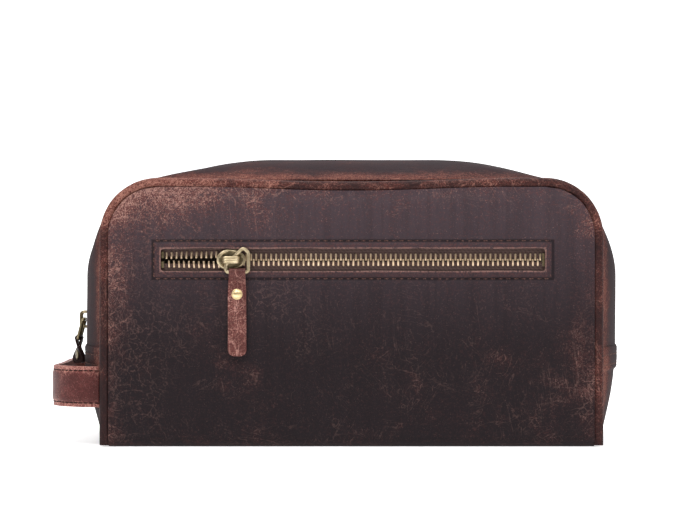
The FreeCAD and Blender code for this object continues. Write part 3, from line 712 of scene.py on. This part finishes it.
tape_cloth = woven("tape_cloth", (0.03, 0.017, 0.015), (0.1, 0.056, 0.048), 1800)
lining_cloth = woven("lining_cloth", (0.05, 0.036, 0.027), (0.10, 0.074, 0.055), 1200)
TAPE_DEPTH, TAPE, CHAIN_DEPTH = 1.45 * MM, 0.55 * MM, 1.725 * MM
LINING_DEPTH, LINING = 2.05 * MM, 0.6 * MM
for half, sign in HALVES:
    for name, side in SIDES:
        for kind, near, far, depth, thickness, cloth, slot in (
                ("tape", 1.0, 14.0, TAPE_DEPTH, TAPE, tape_cloth, "zip_tape"),
                ("lining", 9.0, 58.2, LINING_DEPTH, LINING, lining_cloth, "lining")):
            strip = sheet_from_grid(f"gusset_{kind}_{half}_{name}", 120, 10 if kind == "tape" else 20,
                                    gusset_strip(side, sign, near * MM, far * MM, lambda *_: -depth))
            face_outward(strip, lambda at: Vector((at.x * 2, 0, at.z - 70 * MM)))
            thicken(strip, thickness)
            dress(strip, cloth, slot)
            fold_with_mouth(strip)
            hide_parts(f"gusset_{kind}_{half}_{name}", *([f"lip_{kind}_{half}"] if side < 0 else []))

POCKET_Z, POCKET_CHAIN_Y = 93.8 * MM, CHAIN_DEPTH - FACE


def parting(x):
    """How far each row of the pocket's zip stands off: closed behind the slider, open before it."""
    x = x / MM
    if x > -65:
        return 1.3 * MM * (1 - smooth(x, -65, -56))
    return (0.8 + 0.5 * (x + 95.2) / 30.2) * MM


def pocket_tape_point(sign):
    """One of the pocket's tapes, its inner edge following its row of teeth."""
    def place(u, v):
        x = (-101 + 204 * u) * MM
        z = POCKET_Z + sign * (1.0 * MM + parting(x) + (13 * MM - parting(x)) * v)
        return Vector((x, POCKET_CHAIN_Y - TAPE / 2 + 0.05 * MM * ripple((x, 0, z), 200), z))
    return place


for name, sign in (("upper", 1), ("lower", -1)):
    tape = sheet_from_grid(f"pocket_tape_{name}", 160, 10, pocket_tape_point(sign))
    face_outward(tape, lambda at: Vector((0, -1, 0)))
    thicken(tape, TAPE)
    dress(tape, tape_cloth, "zip_tape")
    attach(tape, "bag")
    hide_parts(f"pocket_tape_{name}")


def repaint(paint, *nodes):
    """Gives nodes of the frame, whose shapes are right, a better finish."""
    for node in nodes:
        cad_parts[node].data.materials.clear()
        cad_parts[node].data.materials.append(paint)


repaint(lining_cloth, "body_lining", "side_lining_left", "side_lining_right", "pocket_pouch")

# ---- Zip teeth --------------------------------------------------------------
# Cast metal teeth in an antique brass finish, each clamped on its tape, with rounded heads that mesh with
# the other row's. The finish is dark in the hollows and rubbed pale where a thumb or a slider runs.


def antique_brass(name, dark, pale, polish):
    """Brass mottled with dark tarnish: polish takes it off."""
    paint = Paint(name)
    tarnish = paint.cloud(260, 4, 0.6).rise(0.36, 0.64)
    colour = paint.blend(tarnish * (1 - polish) + polish, dark, pale)
    paint.finish(Base_Color=colour, Metallic=1.0, Roughness=0.4 - tarnish * 0.1,
                 Normal=paint.relief(paint.cloud(600, 3, 0.6), 0.02 * MM, 0.2))
    return paint.material


teeth_brass = antique_brass("teeth_brass", (0.2, 0.12, 0.065), (0.74, 0.56, 0.38), 0.5)
fitting_brass = antique_brass("fitting_brass", (0.07, 0.055, 0.032), (0.24, 0.19, 0.11), 0.25)
rubbed_brass = antique_brass("rubbed_brass", (0.22, 0.17, 0.1), (0.55, 0.45, 0.29), 0.4)
TOOTH_PITCH = 2.5 * MM
MAIN_ROW_FOOT = {-1: 60.5 * MM, 1: 44 * MM}  # on the left, whose slider needs room, and on the right
POCKET_ROW_START, POCKET_ROW_END, POCKET_CLOSED_X = -92.8 * MM, 95.9 * MM, -56 * MM


def model_tooth():
    """One tooth at the origin, X along the chain, Y from its head at the middle to its heel, Z outwards."""
    tooth = block((0, 1.35 * MM, 0), (1.0 * MM, 3.6 * MM, 2.3 * MM))
    for vertex in tooth.data.vertices:
        if vertex.co.y > 2 * MM:
            vertex.co.z *= 0.72
        else:
            vertex.co.x *= 0.92
    apply_modifier(tooth, "BEVEL", width=0.28 * MM, segments=2, limit_method="ANGLE")
    bpy.ops.object.shade_smooth()
    return tooth


def stood(place, along, across, out):
    """The matrix that stands a piece at a place, its X along, its Y across and its Z outwards."""
    matrix = Matrix((along, across, out)).transposed().to_4x4()
    matrix.translation = place
    return matrix


def frame_at(place, along, out):
    """The same, with its Y square to the other two."""
    return stood(place, along, out.cross(along).normalized(), out)


def joined(name, parts):
    """One object of several."""
    bpy.ops.object.select_all(action="DESELECT")
    for part in parts:
        part.select_set(True)
    bpy.context.view_layer.objects.active = parts[0]
    bpy.ops.object.join()
    whole = bpy.context.object
    whole.name = whole.data.name = name
    bpy.ops.object.select_all(action="DESELECT")
    return whole


def copies(name, source, matrices):
    """One object of many copies, each with its own mesh."""
    made = []
    for matrix in matrices:
        twin = source.copy()
        twin.data = source.data.copy()
        twin.data.transform(matrix)
        if matrix.determinant() < 0:
            twin.data.flip_normals()
        bpy.context.collection.objects.link(twin)
        made.append(twin)
    return joined(name, made)


tooth = model_tooth()
for half, sign in HALVES:
    for name, side in SIDES:
        run = outline(0.0)[1][-1] * MM
        matrices = []
        for i in range(int(run / TOOTH_PITCH)):
            distance = run - (i + (0.25 if sign * side > 0 else 0.75)) * TOOTH_PITCH
            place, along, out = on_gusset(side, distance / run, 0.0, -CHAIN_DEPTH)
            if place.z > MAIN_ROW_FOOT[side]:
                matrices.append(stood(place, along, Vector((0, sign, 0)), out))
        teeth = copies(f"main_teeth_{half}_{name}", tooth, matrices)
        dress(teeth, teeth_brass, "zip_brass")
        fold_with_mouth(teeth)
        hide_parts(f"side_teeth_{half}_{name}", *([f"lip_teeth_{half}"] if side < 0 else []))
for name, sign in (("upper", 1), ("lower", -1)):
    matrices = []
    for i in range(76):
        x = POCKET_ROW_START + (i + (0.5 if sign < 0 else 0)) * TOOTH_PITCH
        lean = 0.0 if x > POCKET_CLOSED_X else 0.06 * sign
        along, across = (Vector((math.cos(lean), 0, -math.sin(lean))),
                         Vector((math.sin(lean), 0, math.cos(lean))) * sign)
        if x < POCKET_ROW_END:
            matrices.append(stood((x, POCKET_CHAIN_Y, POCKET_Z + sign * parting(x)), along, across,
                                  Vector((0, -1, 0))))
    teeth = copies(f"pocket_teeth_{name}", tooth, matrices)
    dress(teeth, teeth_brass, "zip_brass")
    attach(teeth, "bag")
    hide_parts(f"pocket_teeth_{name}")
bpy.data.objects.remove(tooth)
repaint(fitting_brass, "main_stop_front", "main_stop_rear", "pocket_stops")

# ---- Sliders ----------------------------------------------------------------
# Die-cast sliders in the same finish. A leaf-shaped plate with a raised rim lies on each face of the chain,
# and a ribbed bridge on the outer plate holds the bail.

PLATE_HALF = (7.2 * MM, 5.4 * MM)
PLATE_LEVEL, PLATE_THICK, RIM_DROP, RIM_FROM = 1.45 * MM, 1.05 * MM, 0.25 * MM, 0.8
BRIDGE_HALF, BRIDGE_RISE, BRIDGE_BEND = 4.6 * MM, 4.2 * MM, 2.3 * MM
BRIDGE_WIDE, BRIDGE_THICK = 3.5 * MM, 1.4 * MM


def leaf_edge(turn):
    """The plate's outline: broad in the shoulders and narrower towards its closed end."""
    c, s = math.cos(turn), math.sin(turn)
    reach = (abs(c) ** 2.6 + abs(s) ** 2.6) ** (-1 / 2.6)
    x, y = PLATE_HALF[0] * c * reach, PLATE_HALF[1] * s * reach
    taper = 1 - 0.2 * smooth(x, -2 * MM, PLATE_HALF[0]) - 0.16 * smooth(-x, 3 * MM, PLATE_HALF[0])
    return x, y * taper


def plate_point(outer):
    """A plate's outer face, from its middle to a raised and rounded rim."""
    def place(u, v):
        x, y = leaf_edge(2 * math.pi * u)
        height = 0.28 * MM * math.exp(-((v - 0.86) / 0.08) ** 2) - 0.45 * MM * smooth(v, 0.9, 1.0)
        return Vector((x * v, y * v, outer * (PLATE_LEVEL + PLATE_THICK - RIM_DROP + height)))
    return place


def bridge_point(u, v):
    """A flat arch, three ribs wide."""
    half, rise, bend = BRIDGE_HALF, BRIDGE_RISE, BRIDGE_BEND
    runs = (rise - bend, bend * math.pi / 2, 2 * (half - bend), bend * math.pi / 2, rise - bend)
    at = u * sum(runs)
    base = PLATE_LEVEL + PLATE_THICK
    if at < runs[0]:
        x, z, out = -half, base + at, Vector((-1, 0, 0))
    elif at < runs[0] + runs[1]:
        turn = (at - runs[0]) / bend
        out = Vector((-math.cos(turn), 0, math.sin(turn)))
        x, z = -half + bend + bend * out.x, base + rise - bend + bend * out.z
    elif at < sum(runs[:3]):
        x, z, out = -half + bend + at - runs[0] - runs[1], base + rise, Vector((0, 0, 1))
    elif at < sum(runs[:4]):
        turn = (at - sum(runs[:3])) / bend
        out = Vector((math.sin(turn), 0, math.cos(turn)))
        x, z = half - bend + bend * out.x, base + rise - bend + bend * out.z
    else:
        x, z, out = half, base + rise - bend - (at - sum(runs[:4])), Vector((1, 0, 0))
    rib = 0.16 * MM * (math.cos(6 * math.pi * (v - 0.5)) - 1) * smooth(z, base + 1 * MM, base + 3 * MM)
    return Vector((x, (v - 0.5) * BRIDGE_WIDE, z)) + out * rib


def round_edges(piece, width, angle):
    """Rounds a piece's sharp edges a little."""
    apply_modifier(piece, "BEVEL", width=width, segments=2, limit_method="ANGLE",
                   angle_limit=math.radians(angle))


def model_slider(name):
    """Two plates, the rails that turn in from their sides, and the bridge, at the origin."""
    parts = []
    for outer in (1, -1):
        plate = sheet_from_grid(f"{name}_plate", 48, 12, plate_point(outer), closed=True)
        face_outward(plate, lambda at: Vector((0, 0, outer)))
        thicken(plate, PLATE_THICK - RIM_DROP)
        parts.append(plate)
        for side in (1, -1):
            rail = block((0, side * 4.95 * MM, outer * 1.3 * MM), (6.0 * MM, 0.5 * MM, 1.1 * MM))
            apply_modifier(rail, "BEVEL", width=0.15 * MM, segments=2)
            parts.append(rail)
    bridge = sheet_from_grid(f"{name}_bridge", 40, 24, bridge_point)
    face_outward(bridge, lambda at: Vector((at.x, 0, at.z)))
    thicken(bridge, BRIDGE_THICK)
    round_edges(bridge, 0.18 * MM, 50)
    for part in parts:
        part.data.materials.clear()
        part.data.materials.append(fitting_brass)
        part.data.materials.append(rubbed_brass)
        for face in part.data.polygons:
            reach = math.hypot(face.center.x / PLATE_HALF[0], face.center.y / PLATE_HALF[1])
            face.material_index = int(reach > RIM_FROM and face.center.z > PLATE_LEVEL)
    bridge.data.materials.append(rubbed_brass)
    return joined(name, parts + [bridge])


POCKET_SLIDER_X = -60.3 * MM
SIDE_CHAIN_X, MAIN_SLIDER_Z = CHAIN_DEPTH - MIDDLE_FORM["side"] * MM, 62.5 * MM
for name, at, along, out in (
        ("pocket_slider", Vector((POCKET_SLIDER_X, POCKET_CHAIN_Y, POCKET_Z)), Vector((1, 0, 0)),
         Vector((0, -1, 0))),
        ("main_slider", Vector((SIDE_CHAIN_X, 0, MAIN_SLIDER_Z)), Vector((0, 0, 1)), Vector((-1, 0, 0)))):
    slider = model_slider(name)
    slider.data.transform(frame_at(at, along, out))
    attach(slider, name)
    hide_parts(name)

# ---- Bails ------------------------------------------------------------------
# A cast ring of round brass section goes through each slider's bridge and carries the pull. The pocket's ring
# is paler than its slider; the main ring is painted in the darker fitting brass, as painted shade.

BAIL_FILL = 0.3 * MM
# The main ring's darker brass is painted shade.
for name, brass in (("main_bail", fitting_brass), ("pocket_bail", rubbed_brass)):
    bail = bpy.data.objects.new(f"{name}_cast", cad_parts[name].data.copy())
    bpy.context.collection.objects.link(bail)
    weld(bail)
    outward = [vertex.normal.copy() for vertex in bail.data.vertices]
    for vertex, normal in zip(bail.data.vertices, outward):
        vertex.co += normal * BAIL_FILL
    bpy.ops.object.select_all(action="DESELECT")
    bail.select_set(True)
    bpy.ops.object.shade_smooth()
    bpy.ops.object.select_all(action="DESELECT")
    dress(bail, brass, "slider_brass")
    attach(bail, name)
    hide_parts(name)

# ---- Pull tabs and rivets ---------------------------------------------------
# Each pull is a strip of the warm red-brown leather, folded over the bail's bar with its two plies riveted
# together. The rivet is a brass dome with a rolled rim. The main pull's strip and rivet are painted darker,
# as painted shade.

TAB_HALF, TAB_PLY, TAB_END, EYE, EYE_TURN = 4.6 * MM, 1.05 * MM, 3.4 * MM, 2.0 * MM, 1.6 * MM


def tab_lean(down, length, twist):
    """How far the strip has twisted at one distance below the bar."""
    return twist * smooth(down, 0.23 * length, 0.94 * length)


def tab_point(length, twist):
    """The strip at the origin, hanging from the X axis: up the front, over the bar, and down the back."""
    def place(u, v):
        down = length * abs(2 * v - 1)
        front = 1 if v < 0.5 else -1
        shut = smooth(down, 0, 6.2 * MM)
        if down < EYE_TURN:
            turn = math.pi / 2 * (1 - down / EYE_TURN)
            y, z = front * EYE * math.cos(turn), EYE * math.sin(turn)
        else:
            y, z = front * (EYE * (1 - shut) + (TAB_PLY + 0.03 * MM) * shut), EYE_TURN - down
        end = max(down - (length - TAB_END), 0)
        half = TAB_HALF - (TAB_END - math.sqrt(max(TAB_END ** 2 - end ** 2, 0))) * 0.8
        half *= 0.9 + 0.1 * smooth(down, 2 * MM, 14 * MM)
        x = (2 * u - 1) * half
        bow = 0.35 * MM * (1 - (2 * u - 1) ** 2) * (1 if front > 0 else 0.4) * smooth(down, 3 * MM, 8 * MM)
        y += front * bow * 0.6
        lean = tab_lean(down, length, twist)
        return Vector((x * math.cos(lean) - y * math.sin(lean), x * math.sin(lean) + y * math.cos(lean), z))
    return place


def lathe(name, steps, profile):
    """A turned piece about the Y axis from (radius, height) pairs, blended smoothly."""
    def place(u, v):
        at = v * (len(profile) - 1)
        i = min(int(at), len(profile) - 2)
        part = at - i
        radius = profile[i][0] + (profile[i + 1][0] - profile[i][0]) * part
        height = profile[i][1] + (profile[i + 1][1] - profile[i][1]) * part
        return Vector((radius * math.cos(2 * math.pi * u), height, radius * math.sin(2 * math.pi * u)))
    return sheet_from_grid(name, steps, (len(profile) - 1) * 2, place, closed=True)


tab_leather = waxed_leather("tab_leather", (0.06, 0.017, 0.015), (0.18, 0.055, 0.046), (0.55, 0.3, 0.25),
                            wear=0.3, grain=1.3, gloss=0.42, shine=0.16)
# A darker copy of the tab leather: painted shade on the main pull, which hangs on the shaded side.
shaded_main_tab_leather = waxed_leather("shaded_main_tab_leather", (0.02, 0.009, 0.009), (0.09, 0.028, 0.024), WORN,
                                 wear=-0.3)
rivet_brass = antique_brass("rivet_brass", (0.5, 0.36, 0.17), (0.8, 0.62, 0.34), 0.7)
# The rivet's (radius, height) pairs in millimetres: its dome, rolled rim, shank and back
DOME = [(0.0, 2.35), (0.3, 2.34), (0.8, 2.28), (1.5, 2.05), (2.05, 1.7), (2.2, 1.5), (2.35, 1.55), (2.6, 1.5),
        (2.75, 1.3), (2.7, 1.16), (1.2, 1.14), (1.1, 0.0), (1.1, -1.14), (2.6, -1.18), (2.65, -1.4),
        (2.2, -1.58), (0.0, -1.62)]
BAIL_LEVEL, MAIN_BAIL, LEAN = 4.3 * MM, 10.5 * MM, math.radians(15)
POCKET_BAR = Vector((-57.2 * MM, POCKET_CHAIN_Y - BAIL_LEVEL, 87.6 * MM))
MAIN_BAR = Vector((SIDE_CHAIN_X - BAIL_LEVEL - MAIN_BAIL * math.sin(LEAN), 0,
                   MAIN_SLIDER_Z - MAIN_BAIL * math.cos(LEAN)))
UP = Vector((0, 0, 1))
# The main pull gets the darker leather and the darker fitting brass, as painted shade.
for name, surface, brass, at, along, length, rivet_drop, twist in (
        ("pocket", tab_leather, rivet_brass, POCKET_BAR, Vector((-1, 0, 0)), 43.6 * MM, 11.0 * MM, 0.14),
        ("main", shaded_main_tab_leather, fitting_brass, MAIN_BAR, Vector((0, -1, 0)), 14.6 * MM, 8.6 * MM, 0.8)):
    tab = sheet_from_grid(f"{name}_tab", 14, 120, tab_point(length, twist))
    face_outward(tab, lambda at: Vector((0, at.y, at.z + 1 * MM)))
    thicken(tab, 1.0 * MM)
    round_edges(tab, 0.22 * MM, 50)
    tab.data.transform(frame_at(at, along, UP))
    dress(tab, surface, "tab_leather")
    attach(tab, f"{name}_tab")
    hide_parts(f"{name}_tab")
    rivet = lathe(f"{name}_rivet", 28, [(r * MM, h * MM) for r, h in DOME])
    turned = Matrix.Rotation(tab_lean(rivet_drop, length, twist), 4, "Z")
    rivet.data.transform(Matrix.Translation((0, 0, -rivet_drop)) @ turned)
    rivet.data.transform(frame_at(at, along, UP))
    dress(rivet, brass, "rivet_brass")
    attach(rivet, f"{name}_tab")
    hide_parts(f"{name}_rivet")

# ---- Carrying loop ----------------------------------------------------------
# A band of two plies of the red-brown leather, sewn edge to edge and caught in both side seams, bows out
# from the left side as a grip.

BAND_LOW, BAND_HIGH, BAND_OUT, BAND_DEEP, BAND_BEND = 19.4 * MM, 40.0 * MM, 152.6 * MM, 57.0 * MM, 23.0 * MM
BAND_START = 127.0 * MM


def band_line(share, inset):
    """The band's line seen from above, from the front seam round to the rear: (x, y, outward direction)."""
    bend, deep, out = BAND_BEND - inset, BAND_DEEP - inset, BAND_OUT - inset
    straight, arc, back = out - bend - BAND_START, math.pi / 2 * bend, 2 * (deep - bend)
    run = share * (2 * straight + 2 * arc + back)
    mirrored = run > straight + arc + back / 2
    if mirrored:
        run = 2 * straight + 2 * arc + back - run
    if run < straight:
        x, y, normal = BAND_START + run, -deep, (0.0, -1.0)
    elif run < straight + arc:
        turn = (run - straight) / bend
        normal = (math.sin(turn), -math.cos(turn))
        x, y = out - bend + bend * normal[0], -deep + bend + bend * normal[1]
    else:
        x, y, normal = out, -deep + bend + (run - straight - arc), (1.0, 0.0)
    flip = -1 if mirrored else 1
    return Vector((-x, y * flip, 0)), Vector((-normal[0], normal[1] * flip, 0))


def band_point(inset, lift=0.0):
    """One ply of the band, puffed between its two rows of stitches."""
    def place(u, v):
        at, out = band_line(u, inset)
        edge = min(v, 1 - v) * (BAND_HIGH - BAND_LOW)
        puff = 0.5 * MM * smooth(edge, 0, 5 * MM)
        puff -= 0.35 * MM * math.exp(-((edge - 2.2 * MM) / (0.7 * MM)) ** 2)
        puff += 0.35 * MM * ripple((u * 0.2, inset * 90, v * 0.02), 60, 7)
        if inset:
            puff *= -0.4
        z = BAND_LOW + (BAND_HIGH - BAND_LOW) * v + 0.5 * MM * ripple((u * 0.2, 0, 0), 14, 3)
        return at + out * (puff + lift) + Vector((0, 0, z))
    return place


handle_leather = waxed_leather(
    "handle_leather", (0.056, 0.014, 0.013), (0.19, 0.048, 0.042), (0.5, 0.25, 0.2), wear=0.12, grain=1.2,
    gloss=0.42, shine=0.16, edges=((2, 0.019, 0.005, 0.8), (2, 0.0405, 0.005, 1.0)))
for name, inset, facing in (("outer", 0.0, 1), ("inner", 2.85 * MM, -1)):
    band = sheet_from_grid(f"handle_{name}", 150, 30, band_point(inset))
    face_outward(band, lambda at: Vector((-(abs(at.x) - 130 * MM), at.y, 0)) * facing)
    thicken(band, 1.38 * MM)
    round_edges(band, 0.3 * MM, 60)
    dress(band, handle_leather, "handle_leather")
    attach(band, "bag")
    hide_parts(f"handle_{name}")

# ---- Stitching --------------------------------------------------------------
# Waxed dark brown thread, about four stitches to the half inch: round the pocket, along both edges of the
# mouth, twice along each hem, and along both edges of the carrying loop. Each stitch is drawn down into its
# own two holes.

STITCH_PITCH, STITCH_LONG, STITCH_RADIUS = 3.8 * MM, 2.9 * MM, 0.36 * MM
MOUTH_ROW, MOUTH_ROW_FOOT, LOOP_ROWS = 8.4 * MM, 51 * MM, (0.107, 0.893)


def model_stitch():
    """One stitch at the origin, along X, its ends drawn down."""
    bpy.ops.mesh.primitive_uv_sphere_add(segments=8, ring_count=6, radius=1, rotation=(0, math.pi / 2, 0))
    stitch = bpy.context.object
    bpy.ops.object.transform_apply(location=False, rotation=True, scale=False)
    for vertex in stitch.data.vertices:
        x = vertex.co.x
        vertex.co = Vector((x * STITCH_LONG / 2, vertex.co.y * STITCH_RADIUS,
                            vertex.co.z * STITCH_RADIUS * 0.8 - 0.22 * MM * x * x))
    bpy.ops.object.shade_smooth()
    return stitch


def pocket_stitch(x, z, along):
    """Where one of the pocket's stitches lies, on the puffed front."""
    return frame_at(Vector((x, -FACE - panel_relief(x, z) - 0.05 * MM, z)), along, Vector((0, -1, 0)))


sewing_thread = twisted("sewing_thread", (0.02, 0.009, 0.008), (0.15, 0.075, 0.06))
stitch = model_stitch()
rows = []
for z in SEWN_Z:
    count = round((SEWN_X[1] - SEWN_X[0]) / STITCH_PITCH)
    for i in range(count):
        x = SEWN_X[0] + (i + 0.5) * (SEWN_X[1] - SEWN_X[0]) / count
        rows.append(pocket_stitch(x, z, Vector((1, 0, 0.06)).normalized()))
for x in SEWN_X:
    for i in range(5):
        z = SEWN_Z[0] + (i + 0.5) * (SEWN_Z[1] - SEWN_Z[0]) / 5
        rows.append(pocket_stitch(x, z, UP))
sewn = copies("pocket_stitching", stitch, rows)
dress(sewn, sewing_thread, "thread")
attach(sewn, "bag")
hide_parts("pocket_stitching")
for half, sign in HALVES:
    for name, side in SIDES:
        y = sign * MOUTH_ROW
        run = outline(y)[1][-1] * MM
        rows = []
        for i in range(int(run / STITCH_PITCH)):
            share = 1 - (i + 0.5) * STITCH_PITCH / run
            place, along, out = on_gusset(side, share, y, gusset_relief(side, share, y) + 0.06 * MM)
            if place.z > MOUTH_ROW_FOOT:
                rows.append(frame_at(place, along, out))
        sewn = copies(f"mouth_stitching_{half}_{name}", stitch, rows)
        dress(sewn, sewing_thread, "thread")
        fold_with_mouth(sewn)
for name, side in SIDES:
    rows = []
    place = panel_point(side)
    for z in HEM_STITCHES:
        v = (z - PANEL_FOOT) / (HEM_TOP - PANEL_FOOT)
        count = round(2 * SEAM_DEEP / STITCH_PITCH)
        for i in range(count):
            u = (i + 0.5) / count
            along = (place(u + 0.01, v) - place(u - 0.01, v)).normalized()
            out = Vector((side, 0, 0))
            out = (out - along * out.dot(along)).normalized()
            rows.append(frame_at(place(u, v) + out * 0.05 * MM, along, out))
    sewn = copies(f"hem_stitching_{name}", stitch, rows)
    dress(sewn, sewing_thread, "thread")
    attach(sewn, "bag")
loop_thread = twisted("loop_thread", (0.006, 0.003, 0.003), (0.02, 0.009, 0.008))
rows = []
for v in LOOP_ROWS:
    place = band_point(0.0, 0.06 * MM)
    for i in range(52):
        u = (i + 0.5) / 52
        along = (place(u + 0.004, v) - place(u - 0.004, v)).normalized()
        rows.append(frame_at(place(u, v), along, band_line(u, 0.0)[1]))
sewn = copies("handle_stitching", stitch, rows)
dress(sewn, loop_thread, "thread")
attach(sewn, "bag")
bpy.data.objects.remove(stitch)
